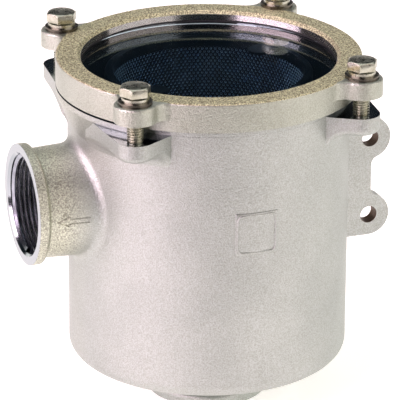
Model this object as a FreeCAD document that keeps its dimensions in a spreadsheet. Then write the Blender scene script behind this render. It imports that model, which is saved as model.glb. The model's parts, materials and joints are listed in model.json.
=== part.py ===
"""Sea water strainer: cast housing, clamped sight window, lift-out basket.

Millimetres.  +Z is up, the origin is the middle of the inlet's mouth under the housing,
the outlet points along -X and the mounting fin along +X.
"""
import FreeCAD
import Part
import Sketcher
import math
import os
import re

# Every size that can be set by itself: alias, value, what it is.
SIZES = [
    ("housing_radius", 67.5, "outside of the cast cylinder"),
    ("housing_wall", 6.0, "cylinder wall"),
    ("housing_height", 135.5, "underside to the seal land"),
    ("floor_thickness", 7.0, "cast floor"),
    ("bottom_round", 6.0, "round edge under the cylinder"),
    ("floor_fillet", 5.0, "round corner inside, wall to floor"),
    ("apron_height", 17.0, "wider rim above the outlet, with its taper"),
    ("apron_edge", 2.5, "straight edge of the wider rim"),
    ("inlet_neck", 21.5, "inlet mouth to the underside"),
    ("outlet_length", 25.8, "cylinder to the outlet's mouth"),
    ("outlet_drop", 51.0, "seal land to the outlet's axis"),
    ("port_bead_width", 5.2, "thread to the outside of the bead round each mouth"),
    ("port_rim_length", 4.6, "length of that bead"),
    ("port_barrel_wall", 2.3, "thread to the outside of the barrel"),
    ("port_draft", 2.0, "growth of the outlet barrel towards the housing"),
    ("port_fillet", 5.0, "blend of the outlet into the cylinder"),
    ("bead_round", 1.6, "round edges of the bead"),
    ("thread_radius", 23.9, "thread's major radius, pipe size one and a half"),
    ("thread_depth", 18.0, "threaded length"),
    ("mouth_chamfer", 1.2, "chamfer at each mouth"),
    ("throat_step", 2.9, "thread to the narrower waterway behind it"),
    ("spigot_height", 8.0, "collar that carries the basket, above the floor"),
    ("spigot_wall", 6.0, "wall of that collar"),
    ("spigot_step_width", 2.0, "seat for the basket floor"),
    ("spigot_step_height", 3.0, "collar above the seat"),
    ("bolt_standoff", 5.8, "cover ring to each bolt's axis"),
    ("bolt_count", 4, "cover bolts"),
    ("bolt_radius", 4.0, "bolt shank"),
    ("bolt_length", 30.0, "shank under the head"),
    ("bolt_head_flats", 13.0, "across flats"),
    ("bolt_head_height", 5.3, "hexagon height"),
    ("bolt_end_chamfer", 0.8, "lead on the shank"),
    ("lug_wall", 5.0, "metal round a bolt in a housing lug"),
    ("lug_thickness", 9.0, "plate of a housing lug"),
    ("lug_drop", 3.0, "seal land to the lug's machined face"),
    ("lug_edge_round", 3.0, "cast edges under a lug"),
    ("lug_root_narrow", 13.5, "bolt's radius line to a lug's plain side, at the chamber wall"),
    ("lug_root_wide", 34.5, "the same to its wing towards the outlet or the fin"),
    ("lug_flare_height", 8.5, "gusset under a lug"),
    ("lug_flare_sink", 0.3, "start of the gusset, inside the cylinder"),
    ("lug_flare_radius", 9.5, "hollow of the gusset"),
    ("lug_flare_reach", 8.5, "how far the gusset runs out under the lug"),
    ("fin_thickness", 7.0, "mounting fin"),
    ("fin_hole_standoff", 15.2, "cylinder to the fixing holes"),
    ("fin_hole_spacing", 40.0, "between the two fixing holes"),
    ("fin_hole_radius", 4.25, "fixing hole"),
    ("fin_hole_drop", 37.5, "seal land to the upper fixing hole"),
    ("fin_lobe_wall", 6.35, "metal round each fixing hole"),
    ("fin_waist_standoff", 16.1, "cylinder to the edge between the lobes"),
    ("fin_waist_round", 4.0, "hollow between lobe and waist"),
    ("fin_fillet", 3.0, "blend of the fin into the cylinder"),
    ("cover_gap", 1.0, "open joint between the housing and the cover ring"),
    ("cover_wall", 6.5, "cover ring outside its recess"),
    ("cover_height", 14.0, "depth of the cover ring"),
    ("cover_edge_round", 1.2, "outer top edge"),
    ("lip_overhang", 0.5, "how far the cover's lip stands in past the chamber wall"),
    ("lip_thickness", 4.5, "lip over the window"),
    ("lip_chamfer", 1.7, "chamfer round the opening"),
    ("cover_lug_wall", 6.0, "metal round a bolt in a cover lug"),
    ("cover_lug_height", 8.4, "plate of a cover lug"),
    ("cover_lug_fillet", 7.0, "blend of a cover lug into the ring"),
    ("cover_hole_play", 0.5, "clearance round a bolt in the cover"),
    ("window_overlap", 4.5, "sight window beyond the chamber wall"),
    ("window_thickness", 8.0, "sight window"),
    ("window_clearance", 0.5, "window to the ring's recess"),
    ("gasket_thickness", 1.0, "flat gasket on the window"),
    ("seal_inset", 2.5, "chamber wall to the middle of the round seal"),
    ("seal_section", 3.0, "thickness of the round seal"),
    ("seal_groove_width", 3.3, "groove for the seal"),
    ("basket_gap", 15.5, "waterway between the basket and the chamber wall"),
    ("basket_sheet", 0.8, "basket sheet"),
    ("basket_floor_sheet", 1.2, "basket floor"),
    ("basket_floor_play", 0.25, "floor hole to the collar"),
    ("basket_top_gap", 0.6, "basket to the window"),
    ("basket_rim_width", 3.7, "hoop round the basket's mouth"),
    ("basket_rim_height", 3.6, "hoop height"),
    ("basket_rim_round", 1.3, "hoop's upper edge"),
    ("tab_width", 11.0, "lifting tab"),
    ("tab_reach", 13.0, "how far a tab stands in from the wall"),
    ("tab_sheet", 1.2, "tab thickness"),
    ("tab_azimuth", 30.0, "direction of the first tab"),
    ("washer_width", 3.8, "plain washer, bore to edge"),
    ("washer_thickness", 1.5, "plain washer"),
    ("washer_play", 0.2, "clearance round a bolt in its washers"),
    ("spring_width", 2.3, "spring washer, bore to edge"),
    ("spring_thickness", 1.8, "spring washer"),
    ("spring_slit", 1.2, "cut in the spring washer"),
]
FULL_TURN = 360.0
TAB_COUNT = 2

doc = FreeCAD.newDocument("sea_water_strainer")
sheet = doc.addObject("Spreadsheet::Sheet", "Dims")
for row, (alias, number, note) in enumerate(SIZES, start=1):
    sheet.set(f"A{row}", alias)
    sheet.set(f"B{row}", str(number))
    sheet.set(f"C{row}", note)
    sheet.setAlias(f"B{row}", alias)
doc.recompute()
ALIASES = {alias for alias, _, _ in SIZES}

# Radii and heights that follow from the sizes: name and expression.
DERIVED = {
    "chamber_radius": "housing_radius - housing_wall",
    "shell_middle": "chamber_radius + housing_wall / 2",
    "seal_radius": "chamber_radius + seal_inset",
    "window_radius": "chamber_radius + window_overlap",
    "recess_radius": "window_radius + window_clearance",
    "cover_radius": "recess_radius + cover_wall",
    "lip_radius": "chamber_radius - lip_overhang",
    "bolt_circle": "cover_radius + bolt_standoff",
    "basket_radius": "chamber_radius - basket_gap",
    "basket_inside": "basket_radius - basket_sheet",
    "port_rim_radius": "thread_radius + port_bead_width",
    "port_tube_radius": "thread_radius + port_barrel_wall",
    "throat_radius": "thread_radius - throat_step",
    "spigot_radius": "throat_radius + spigot_wall",
    "spigot_nose": "spigot_radius - spigot_step_width",
    "outlet_reach": "housing_radius + outlet_length",
    "barrel_root": "chamber_radius * cos(45)",
    "lug_radius": "bolt_radius + lug_wall",
    "cover_lug_radius": "bolt_radius + cover_lug_wall",
    "cover_hole_radius": "bolt_radius + cover_hole_play",
    "washer_bore_radius": "bolt_radius + washer_play",
    "washer_radius": "washer_bore_radius + washer_width",
    "spring_radius": "washer_bore_radius + spring_width",
    "fin_hole_reach": "housing_radius + fin_hole_standoff",
    "fin_waist_reach": "housing_radius + fin_waist_standoff",
    "fin_lobe_radius": "fin_hole_radius + fin_lobe_wall",
    "underside": "inlet_neck",
    "inner_floor": "underside + floor_thickness",
    "land": "underside + housing_height",
    "outlet_height": "land - outlet_drop",
    "spigot_top": "inner_floor + spigot_height",
    "basket_seat": "spigot_top - spigot_step_height",
    "lug_top": "land - lug_drop",
    "lug_bottom": "lug_top - lug_thickness",
    "lug_root": "lug_bottom - lug_flare_height",
    "fin_upper": "land - fin_hole_drop",
    "fin_lower": "fin_upper - fin_hole_spacing",
    "cover_bottom": "land + cover_gap",
    "cover_top": "cover_bottom + cover_height",
    "lip_bottom": "cover_top - lip_thickness",
    "window_top": "lip_bottom - gasket_thickness",
    "window_bottom": "window_top - window_thickness",
    "seal_groove_floor": "window_bottom - seal_section",
    "basket_top": "window_bottom - basket_top_gap",
    "washer_top": "cover_top + washer_thickness",
    "spring_top": "washer_top + spring_thickness",
}


# ---------------------------------------------------------------- helpers
def bound(text):
    """The expression as other objects read it: only sheet aliases, each with the sheet's name."""
    def spelled(match):
        word = match.group(0)
        if word in DERIVED:
            return f"({bound(DERIVED[word])})"
        return f"Dims.{word}" if word in ALIASES else word
    return re.sub(r"[a-z][a-z_]+", spelled, text)


def value(text):
    """The expression's number."""
    return float(sheet.evalExpression(bound(text)))


def bind(item, prop, text):
    item.setExpression(prop, bound(text))


def turned(azimuth):
    """A placement turned about +Z."""
    return FreeCAD.Placement(FreeCAD.Vector(), FreeCAD.Rotation(FreeCAD.Vector(0, 0, 1), azimuth))


def new_body(label):
    body = doc.addObject("PartDesign::Body", label)
    body.Label = label
    return body


def new_sketch(body, name, plane, height=None):
    """A sketch on one of the body's own origin planes; an XY one may be lifted."""
    sketch = body.newObject("Sketcher::SketchObject", name)
    support = next(item for item in body.Origin.OriginFeatures if item.Role == plane)
    sketch.AttachmentSupport = [(support, "")]
    sketch.MapMode = "FlatFace"
    if height:
        bind(sketch, "AttachmentOffset.Base.z", height)
    return sketch


def pin(sketch, edge, end, x_text, y_text):
    """Hold one end of an edge at a point whose coordinates are expressions."""
    for kind, axis, text in (("DistanceX", -2, x_text), ("DistanceY", -1, y_text)):
        number = value(text)
        if abs(number) < 1e-9:
            sketch.addConstraint(Sketcher.Constraint("PointOnObject", edge, end, axis))
        elif number > 0:
            index = sketch.addConstraint(Sketcher.Constraint(kind, -1, 1, edge, end, number))
            bind(sketch, f"Constraints[{index}]", text)
        else:
            index = sketch.addConstraint(Sketcher.Constraint(kind, edge, end, -1, 1, -number))
            bind(sketch, f"Constraints[{index}]", f"-({text})")


def nearest_end(sketch, edge, point):
    """Which end of an edge, 1 or 2, is at the point; arcs always run anticlockwise."""
    return 1 if (sketch.getPoint(edge, 1) - point).Length < (sketch.getPoint(edge, 2) - point).Length else 2


def arc_through(start, end, radius, side):
    """The short arc with its centre to the left (+1) or right (-1) of the way from start to end."""
    chord = end - start
    left = FreeCAD.Vector(-chord.y, chord.x, 0).normalize()
    rise = radius - math.sqrt(max(0, radius ** 2 - (chord.Length / 2) ** 2))
    return Part.Arc(start, start + chord * 0.5 - left * side * rise, end)


def outline(sketch, corners, arcs=None):
    """A closed outline through corners.

    arcs maps an edge's number to (radius, side), and for a half circle, whose radius its two
    ends already give, to (radius, side, x of its centre).
    """
    arcs = arcs or {}
    points = [FreeCAD.Vector(value(x), value(y), 0) for x, y in corners]
    first = sketch.GeometryCount
    for number, start in enumerate(points):
        end = points[(number + 1) % len(points)]
        if number in arcs:
            radius, side = arcs[number][:2]
            sketch.addGeometry(arc_through(start, end, value(radius), side), False)
        else:
            sketch.addGeometry(Part.LineSegment(start, end), False)
    for number, point in enumerate(points):
        edge = first + number
        before = first + (number - 1) % len(points)
        near = nearest_end(sketch, edge, point)
        pin(sketch, edge, near, *corners[number])
        sketch.addConstraint(Sketcher.Constraint("Coincident", before,
                                                 nearest_end(sketch, before, point), edge, near))
    for number, (radius, _, *centre) in arcs.items():
        edge = first + number
        if centre:
            index = sketch.addConstraint(Sketcher.Constraint("DistanceX", -1, 1, edge, 3, value(centre[0])))
            bind(sketch, f"Constraints[{index}]", centre[0])
        else:
            index = sketch.addConstraint(Sketcher.Constraint("Radius", edge, value(radius)))
            bind(sketch, f"Constraints[{index}]", radius)


def circle(sketch, x_text, radius_text):
    """A circle with its centre on the sketch's horizontal axis."""
    centre = FreeCAD.Vector(value(x_text), 0, 0)
    edge = sketch.addGeometry(Part.Circle(centre, FreeCAD.Vector(0, 0, 1), value(radius_text)), False)
    pin(sketch, edge, 3, x_text, "0")
    index = sketch.addConstraint(Sketcher.Constraint("Radius", edge, value(radius_text)))
    bind(sketch, f"Constraints[{index}]", radius_text)


def spin(body, sketch, kind="PartDesign::Revolution", axis="V_Axis", angle=FULL_TURN):
    """Revolve a sketch about one of its own axes, to add or (PartDesign::Groove) to cut."""
    feature = body.newObject(kind, f"{sketch.Name}_turned")
    feature.Profile = sketch
    feature.ReferenceAxis = (sketch, [axis])
    feature.Angle = angle
    feature.Midplane = angle < FULL_TURN
    doc.recompute()
    return feature


def pad(body, sketch, length, midplane=False):
    feature = body.newObject("PartDesign::Pad", f"{sketch.Name}_pad")
    feature.Profile = sketch
    feature.Midplane = midplane
    bind(feature, "Length", length)
    doc.recompute()
    return feature


def round_the_axis(body, feature, sketch, count):
    """Repeat a feature about +Z."""
    pattern = body.newObject("PartDesign::PolarPattern", f"{feature.Name}_pattern")
    pattern.Originals = [feature]
    pattern.Axis = (sketch, ["N_Axis"])
    pattern.Angle = FULL_TURN
    bind(pattern, "Occurrences", count)
    body.Tip = pattern
    doc.recompute()
    return pattern


def dress(body, kind, edges, prop, text):
    """A PartDesign fillet or chamfer on the body's tip."""
    base = body.Tip
    feature = body.newObject(kind, f"{base.Name}_{prop.lower()}")
    feature.Base = (base, edges)
    bind(feature, prop, text)
    doc.recompute()
    return feature


def edges_where(shape, test):
    """Names of the edges whose middle passes the test."""
    names = []
    for number, edge in enumerate(shape.Edges, start=1):
        middle = edge.valueAt((edge.FirstParameter + edge.LastParameter) / 2)
        if test(edge, middle):
            names.append(f"Edge{number}")
    return names


def ring_at(height, radius):
    """A test for whole circles about +Z at a height and a radius."""
    def passes(edge, middle):
        return (abs(middle.z - value(height)) < 1e-4
                and abs(math.hypot(middle.x, middle.y) - value(radius)) < 1e-4
                and abs(edge.BoundBox.ZLength) < 1e-4)
    return passes


def turned_piece(label, corners, arcs=None):
    """A body of revolution about +Z."""
    body = new_body(label)
    sketch = new_sketch(body, f"{label}_section", "XZ_Plane")
    outline(sketch, corners, arcs)
    spin(body, sketch)
    return body


def combine(kind, name, first, second):
    item = doc.addObject(kind, name)
    item.Base = first
    item.Tool = second
    return item


def fuse(name, items):
    item = doc.addObject("Part::MultiFuse", name)
    item.Shapes = items
    item.Refine = True
    doc.recompute()
    return item


def rod(name, radius, bottom, length):
    """A plain upright cylinder."""
    item = doc.addObject("Part::Cylinder", name)
    bind(item, "Radius", radius)
    bind(item, "Height", length)
    bind(item, "Placement.Base.z", bottom)
    return item


def bolt_azimuths():
    """Cover bolts stand midway between the ports' plane and its normal."""
    count = int(value("bolt_count"))
    return [FULL_TURN * (number + 0.5) / count for number in range(count)]


def stand_at_bolt(item, azimuth):
    """Move a piece made on the Z axis to a bolt's place."""
    bind(item, "Placement.Base.x", f"bolt_circle * cos({azimuth})")
    bind(item, "Placement.Base.y", f"bolt_circle * sin({azimuth})")


# ---------------------------------------------------------------- housing
def housing_shell():
    """The cast pot with its inlet barrel, still solid."""
    body = turned_piece("housing_shell", [
        ("0", "0"),
        ("port_rim_radius", "0"),
        ("port_rim_radius", "port_rim_length"),
        ("port_tube_radius", "port_rim_length + bead_round"),
        ("port_tube_radius", "underside"),
        ("housing_radius - bottom_round", "underside"),
        ("housing_radius", "underside + bottom_round"),
        ("housing_radius", "land"),
        ("0", "land"),
    ], {5: ("bottom_round", 1)})
    edges = edges_where(body.Shape, ring_at("port_rim_length", "port_rim_radius"))
    dress(body, "PartDesign::Fillet", edges, "Radius", "bead_round")
    return body


def outlet_barrel():
    """The outlet's tapered barrel and bead, turned about the outlet's axis."""
    body = new_body("outlet_barrel")
    sketch = new_sketch(body, "outlet_section", "XZ_Plane")
    bind(sketch, "AttachmentOffset.Base.y", "outlet_height")
    outline(sketch, [
        ("barrel_root", "0"),
        ("outlet_reach", "0"),
        ("outlet_reach", "port_rim_radius"),
        ("outlet_reach - port_rim_length", "port_rim_radius"),
        ("outlet_reach - port_rim_length - bead_round", "port_tube_radius"),
        ("barrel_root", "port_tube_radius + port_draft"),
    ])
    spin(body, sketch, axis="H_Axis")

    def bead_back(edge, middle):
        return (abs(middle.x - value("outlet_reach - port_rim_length")) < 1e-4
                and abs(edge.BoundBox.XLength) < 1e-4)
    dress(body, "PartDesign::Fillet", edges_where(body.Shape, bead_back), "Radius", "bead_round")
    body.Placement = turned(180)
    return body


def outlet_apron():
    """The wider rim above the outlet, between the two lugs beside it."""
    body = new_body("outlet_apron")
    sketch = new_sketch(body, "apron_section", "XZ_Plane")
    outline(sketch, [
        ("shell_middle", "land - apron_height"),
        ("housing_radius", "land - apron_height"),
        ("cover_radius", "land - apron_edge"),
        ("cover_radius", "land"),
        ("shell_middle", "land"),
    ])
    spin(body, sketch, angle=FULL_TURN / value("bolt_count"))
    body.Placement = turned(180)
    return body


def lug_plan():
    """Every other lug as seen from above: a round end, a plain side and a wing."""
    body = new_body("lug_plan")
    sketch = new_sketch(body, "lug_outline", "XY_Plane", "lug_root")
    centre = FreeCAD.Vector(value("bolt_circle"), 0, 0)
    radius = value("lug_radius")

    def side_of(root_text, sign):
        root = FreeCAD.Vector(value("chamber_radius"), sign * value(root_text), 0)
        reach = root - centre
        spread = math.atan2(reach.y, reach.x) - sign * math.acos(radius / reach.Length)
        return root, centre + FreeCAD.Vector(math.cos(spread), math.sin(spread), 0) * radius
    plain_root, plain_touch = side_of("lug_root_narrow", 1)
    wing_root, wing_touch = side_of("lug_root_wide", -1)
    axis_plain = FreeCAD.Vector(0, plain_root.y, 0)
    axis_wing = FreeCAD.Vector(0, wing_root.y, 0)
    tip = centre + FreeCAD.Vector(radius, 0, 0)
    sketch.addGeometry(Part.LineSegment(axis_plain, plain_root), False)
    sketch.addGeometry(Part.LineSegment(plain_root, plain_touch), False)
    sketch.addGeometry(Part.Arc(wing_touch, tip, plain_touch), False)
    sketch.addGeometry(Part.LineSegment(wing_touch, wing_root), False)
    sketch.addGeometry(Part.LineSegment(wing_root, axis_wing), False)
    sketch.addGeometry(Part.LineSegment(axis_wing, axis_plain), False)
    sketch.addConstraint([
        Sketcher.Constraint("Coincident", 0, 2, 1, 1),
        Sketcher.Constraint("Tangent", 1, 2, 2, 2),
        Sketcher.Constraint("Tangent", 2, 1, 3, 1),
        Sketcher.Constraint("Coincident", 3, 2, 4, 1),
        Sketcher.Constraint("Coincident", 4, 2, 5, 1),
        Sketcher.Constraint("Coincident", 5, 2, 0, 1),
    ])
    pin(sketch, 2, 3, "bolt_circle", "0")
    pin(sketch, 0, 1, "0", "lug_root_narrow")
    pin(sketch, 0, 2, "chamber_radius", "lug_root_narrow")
    pin(sketch, 4, 1, "chamber_radius", "-lug_root_wide")
    pin(sketch, 5, 1, "0", "-lug_root_wide")
    index = sketch.addConstraint(Sketcher.Constraint("Radius", 2, radius))
    bind(sketch, f"Constraints[{index}]", "lug_radius")
    round_the_axis(body, pad(body, sketch, "lug_top - lug_root"), sketch, "bolt_count / 2")
    body.Placement = turned(bolt_azimuths()[0])
    return body


def blended(name, base, blends):
    """A Part fillet; blends is a list of (test, size's name)."""
    item = doc.addObject("Part::Fillet", name)
    item.Base = base
    rounds = []
    for test, size in blends:
        for edge in edges_where(base.Shape, test):
            rounds.append((int(edge[4:]), value(size), value(size)))
    item.Edges = rounds
    doc.recompute()
    return item


def all_lugs():
    """The lugs with soft cast edges under them; half of them mirror the other half."""
    half = lug_plan()
    mirrored = doc.addObject("Part::Mirroring", "lug_plan_mirrored")
    mirrored.Source = half
    mirrored.Normal = FreeCAD.Vector(0, 1, 0)
    sharp = combine("Part::Common", "lugs_sharp", lug_section(), fuse("lug_plans", [half, mirrored]))
    doc.recompute()

    def under_lug(edge, middle):
        reach = math.hypot(middle.x, middle.y)
        return (reach > value("housing_radius + lug_edge_round")
                and middle.z < value("lug_bottom + lug_edge_round")
                and not ring_at("lug_bottom", "housing_radius + lug_flare_reach")(edge, middle))
    return blended("lugs", sharp, [(under_lug, "lug_edge_round")])


def lug_section():
    """The lugs as seen from the side: a plate with a hollow gusset under it."""
    far = "(bolt_circle + 2 * lug_radius)"
    return turned_piece("lug_section", [
        ("shell_middle", "lug_root"),
        ("housing_radius - lug_flare_sink", "lug_root"),
        ("housing_radius + lug_flare_reach", "lug_bottom"),
        (far, "lug_bottom"),
        (far, "lug_top"),
        ("shell_middle", "lug_top"),
    ], {1: ("lug_flare_radius", -1)})


def mounting_fin():
    """The fin opposite the outlet: two round lobes with a waist between them."""
    body = new_body("mounting_fin")
    sketch = new_sketch(body, "fin_outline", "XZ_Plane")
    centres = "(fin_lobe_radius + fin_waist_round)"
    across = "(fin_waist_reach + fin_waist_round - fin_hole_reach)"
    along = f"sqrt({centres} ^ 2 - {across} ^ 2)"
    touch_reach = f"fin_hole_reach + {across} * fin_lobe_radius / {centres}"
    touch_rise = f"{along} * fin_lobe_radius / {centres}"
    lobe = ("fin_lobe_radius", 1)
    hollow = ("fin_waist_round", -1)
    outline(sketch, [
        ("shell_middle", "fin_lower - fin_lobe_radius"),
        ("fin_hole_reach", "fin_lower - fin_lobe_radius"),
        (touch_reach, f"fin_lower + {touch_rise}"),
        ("fin_waist_reach", f"fin_lower + {along}"),
        ("fin_waist_reach", f"fin_upper - {along}"),
        (touch_reach, f"fin_upper - {touch_rise}"),
        ("fin_hole_reach", "fin_upper + fin_lobe_radius"),
        ("shell_middle", "fin_upper + fin_lobe_radius"),
    ], {1: lobe, 2: hollow, 4: hollow, 5: lobe})
    pad(body, sketch, "fin_thickness", midplane=True)
    return body


def port_cutter(name, far_end):
    """Thread bore, mouth chamfer and throat of one port, running up from the origin."""
    return turned_piece(name, [
        ("0", "0"),
        ("thread_radius + mouth_chamfer", "0"),
        ("thread_radius", "mouth_chamfer"),
        ("thread_radius", "thread_depth"),
        ("throat_radius", "thread_depth + thread_radius - throat_radius"),
        ("throat_radius", far_end),
        ("0", far_end),
    ])


def chamber():
    """The hollow of the housing, round the collar that carries the basket."""
    return turned_piece("chamber", [
        ("0", "spigot_top"),
        ("spigot_nose", "spigot_top"),
        ("spigot_nose", "basket_seat"),
        ("spigot_radius", "basket_seat"),
        ("spigot_radius", "inner_floor"),
        ("chamber_radius - floor_fillet", "inner_floor"),
        ("chamber_radius", "inner_floor + floor_fillet"),
        ("chamber_radius", "land"),
        ("0", "land"),
    ], {5: ("floor_fillet", 1)})


def seal_groove():
    """The groove in the seal land."""
    return turned_piece("seal_groove", [
        ("seal_radius - seal_groove_width / 2", "seal_groove_floor"),
        ("seal_radius + seal_groove_width / 2", "seal_groove_floor"),
        ("seal_radius + seal_groove_width / 2", "land"),
        ("seal_radius - seal_groove_width / 2", "land"),
    ])


def bolt_holes():
    """One hole for each cover bolt, from under its lug to the seal land."""
    holes = []
    for number, azimuth in enumerate(bolt_azimuths(), start=1):
        hole = rod(f"lug_hole_{number}", "bolt_radius", "lug_bottom", "land - lug_bottom")
        stand_at_bolt(hole, azimuth)
        holes.append(hole)
    return holes


def fin_holes():
    """The two fixing holes, across the fin."""
    holes = []
    for name, height in (("fin_hole_upper", "fin_upper"), ("fin_hole_lower", "fin_lower")):
        hole = doc.addObject("Part::Cylinder", name)
        bind(hole, "Radius", "fin_hole_radius")
        bind(hole, "Height", "fin_thickness")
        hole.Placement.Rotation = FreeCAD.Rotation(FreeCAD.Vector(1, 0, 0), 90)
        bind(hole, "Placement.Base.x", "fin_hole_reach")
        bind(hole, "Placement.Base.y", "fin_thickness / 2")
        bind(hole, "Placement.Base.z", height)
        holes.append(hole)
    return holes


def housing():
    core = fuse("housing_core", [housing_shell(), outlet_barrel(), mounting_fin()])

    def on_cylinder(middle):
        return abs(math.hypot(middle.x, middle.y) - value("housing_radius")) < 1e-3

    def outlet_joint(edge, middle):
        across = math.hypot(middle.y, middle.z - value("outlet_height"))
        return middle.x < 0 and on_cylinder(middle) and across < value("port_tube_radius + 2 * port_draft")

    def fin_joint(edge, middle):
        return (on_cylinder(middle) and abs(abs(middle.y) - value("fin_thickness / 2")) < 1e-3
                and edge.BoundBox.ZLength > value("fin_hole_spacing"))
    rounded = blended("housing_rounded", core, [(outlet_joint, "port_fillet"), (fin_joint, "fin_fillet")])
    cast = fuse("housing_cast", [rounded, outlet_apron(), all_lugs()])
    hollow = fuse("housing_hollow", [chamber(), seal_groove(), inlet_hollow(), outlet_hollow()]
                  + fin_holes() + bolt_holes())
    return combine("Part::Cut", "housing", cast, hollow)


def inlet_hollow():
    return port_cutter("inlet_hollow", "spigot_top")


def outlet_hollow():
    """The outlet's bore, turned to lie along -X."""
    cutter = port_cutter("outlet_hollow", "outlet_reach - barrel_root")
    cutter.Placement.Rotation = FreeCAD.Rotation(FreeCAD.Vector(0, 1, 0), 90)
    bind(cutter, "Placement.Base.x", "-outlet_reach")
    bind(cutter, "Placement.Base.z", "outlet_height")
    return cutter


# ---------------------------------------------------------------- cover, window and seals
def cover_ring():
    """The cast ring that clamps the window, with four lugs."""
    body = new_body("cover_ring")
    disc = new_sketch(body, "cover_disc", "XZ_Plane")
    outline(disc, [
        ("0", "cover_bottom"),
        ("cover_radius", "cover_bottom"),
        ("cover_radius", "cover_top"),
        ("0", "cover_top"),
    ])
    spin(body, disc)
    lug = new_sketch(body, "cover_lug", "XY_Plane", "cover_top - cover_lug_height")
    outline(lug, [
        ("0", "-cover_lug_radius"),
        ("bolt_circle", "-cover_lug_radius"),
        ("bolt_circle", "cover_lug_radius"),
        ("0", "cover_lug_radius"),
    ], {1: ("cover_lug_radius", 1, "bolt_circle")})
    round_the_axis(body, pad(body, lug, "cover_lug_height"), lug, "bolt_count")

    def lug_corner(edge, middle):
        return (abs(math.hypot(middle.x, middle.y) - value("cover_radius")) < 1e-3
                and abs(edge.BoundBox.ZLength - value("cover_lug_height")) < 1e-3)
    dress(body, "PartDesign::Fillet", edges_where(body.Shape, lug_corner), "Radius", "cover_lug_fillet")

    def top_edge(edge, middle):
        return abs(middle.z - value("cover_top")) < 1e-4 and edge.BoundBox.ZLength < 1e-4
    dress(body, "PartDesign::Fillet", edges_where(body.Shape, top_edge), "Radius", "cover_edge_round")
    opening = new_sketch(body, "cover_opening", "XZ_Plane")
    outline(opening, [
        ("0", "cover_bottom"),
        ("recess_radius", "cover_bottom"),
        ("recess_radius", "lip_bottom"),
        ("lip_radius", "lip_bottom"),
        ("lip_radius", "cover_top - lip_chamfer"),
        ("lip_radius + lip_chamfer", "cover_top"),
        ("0", "cover_top"),
    ])
    spin(body, opening, "PartDesign::Groove")
    hole = new_sketch(body, "cover_hole", "XY_Plane", "cover_top")
    circle(hole, "bolt_circle", "cover_hole_radius")
    pocket = body.newObject("PartDesign::Pocket", "cover_hole_pocket")
    pocket.Profile = hole
    bind(pocket, "Length", "cover_height")
    doc.recompute()
    round_the_axis(body, pocket, hole, "bolt_count")
    body.Placement = turned(bolt_azimuths()[0])
    return body


def sight_window():
    return turned_piece("sight_window", [
        ("0", "window_bottom"),
        ("window_radius", "window_bottom"),
        ("window_radius", "window_top"),
        ("0", "window_top"),
    ])


def window_gasket():
    return turned_piece("window_gasket", [
        ("lip_radius", "window_top"),
        ("window_radius", "window_top"),
        ("window_radius", "lip_bottom"),
        ("lip_radius", "lip_bottom"),
    ])


def window_seal():
    """The round seal in the housing's groove."""
    item = doc.addObject("Part::Torus", "window_seal")
    bind(item, "Radius1", "seal_radius")
    bind(item, "Radius2", "seal_section / 2")
    bind(item, "Placement.Base.z", "seal_groove_floor + seal_section / 2")
    return item


# ---------------------------------------------------------------- basket
def basket_wall():
    return turned_piece("basket_wall", [
        ("basket_inside", "basket_seat"),
        ("basket_radius", "basket_seat"),
        ("basket_radius", "basket_top"),
        ("basket_inside", "basket_top"),
    ])


def basket_floor():
    """The floor plate, whose hole drops over the housing's collar."""
    hole = "(spigot_nose + basket_floor_play)"
    return turned_piece("basket_floor", [
        (hole, "basket_seat"),
        ("basket_inside", "basket_seat"),
        ("basket_inside", "basket_seat + basket_floor_sheet"),
        (hole, "basket_seat + basket_floor_sheet"),
    ])


def basket_rim():
    """The hoop round the basket's mouth."""
    outer = "(basket_radius + basket_rim_width)"
    return turned_piece("basket_rim", [
        ("basket_radius", "basket_top - basket_rim_height"),
        (outer, "basket_top - basket_rim_height"),
        (outer, "basket_top - basket_rim_round"),
        (f"{outer} - basket_rim_round", "basket_top"),
        ("basket_radius", "basket_top"),
    ], {2: ("basket_rim_round", 1)})


def lifting_tab(number):
    """A flat round-ended tab that stands in from the basket wall."""
    body = new_body(f"tab_blank_{number}")
    sketch = new_sketch(body, f"tab_outline_{number}", "XY_Plane", "basket_top - tab_sheet")
    tip = "(basket_inside - tab_reach + tab_width / 2)"
    outline(sketch, [
        (tip, "tab_width / 2"),
        (tip, "-tab_width / 2"),
        ("basket_radius", "-tab_width / 2"),
        ("basket_radius", "tab_width / 2"),
    ], {0: ("tab_width / 2", 1, tip)})
    pad(body, sketch, "tab_sheet")
    reach = rod(f"tab_trim_{number}", "basket_inside", "basket_top - tab_sheet", "tab_sheet")
    tab = combine("Part::Common", f"lifting_tab_{number}", body, reach)
    tab.Placement = turned(value("tab_azimuth") + FULL_TURN * (number - 1) / TAB_COUNT)
    return tab


# ---------------------------------------------------------------- cover fasteners
def cover_bolt(number, azimuth):
    """A hexagon bolt."""
    shank_end = "(spring_top - bolt_length)"
    label = f"cover_bolt_{number}"
    body = turned_piece(label, [
        ("0", shank_end),
        ("bolt_radius - bolt_end_chamfer", shank_end),
        ("bolt_radius", f"{shank_end} + bolt_end_chamfer"),
        ("bolt_radius", "spring_top"),
        ("0", "spring_top"),
    ])
    head = new_sketch(body, f"{label}_head", "XY_Plane", "spring_top")
    corner = "(bolt_head_flats / sqrt(3))"
    outline(head, [
        (corner, "0"),
        (f"{corner} / 2", "bolt_head_flats / 2"),
        (f"-{corner} / 2", "bolt_head_flats / 2"),
        (f"-{corner}", "0"),
        (f"-{corner} / 2", "-bolt_head_flats / 2"),
        (f"{corner} / 2", "-bolt_head_flats / 2"),
    ])
    pad(body, head, "bolt_head_height")
    stand_at_bolt(body, azimuth)
    return body


def plain_washer(number, azimuth):
    body = turned_piece(f"plain_washer_{number}", [
        ("washer_bore_radius", "cover_top"),
        ("washer_radius", "cover_top"),
        ("washer_radius", "washer_top"),
        ("washer_bore_radius", "washer_top"),
    ])
    stand_at_bolt(body, azimuth)
    return body


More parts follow.
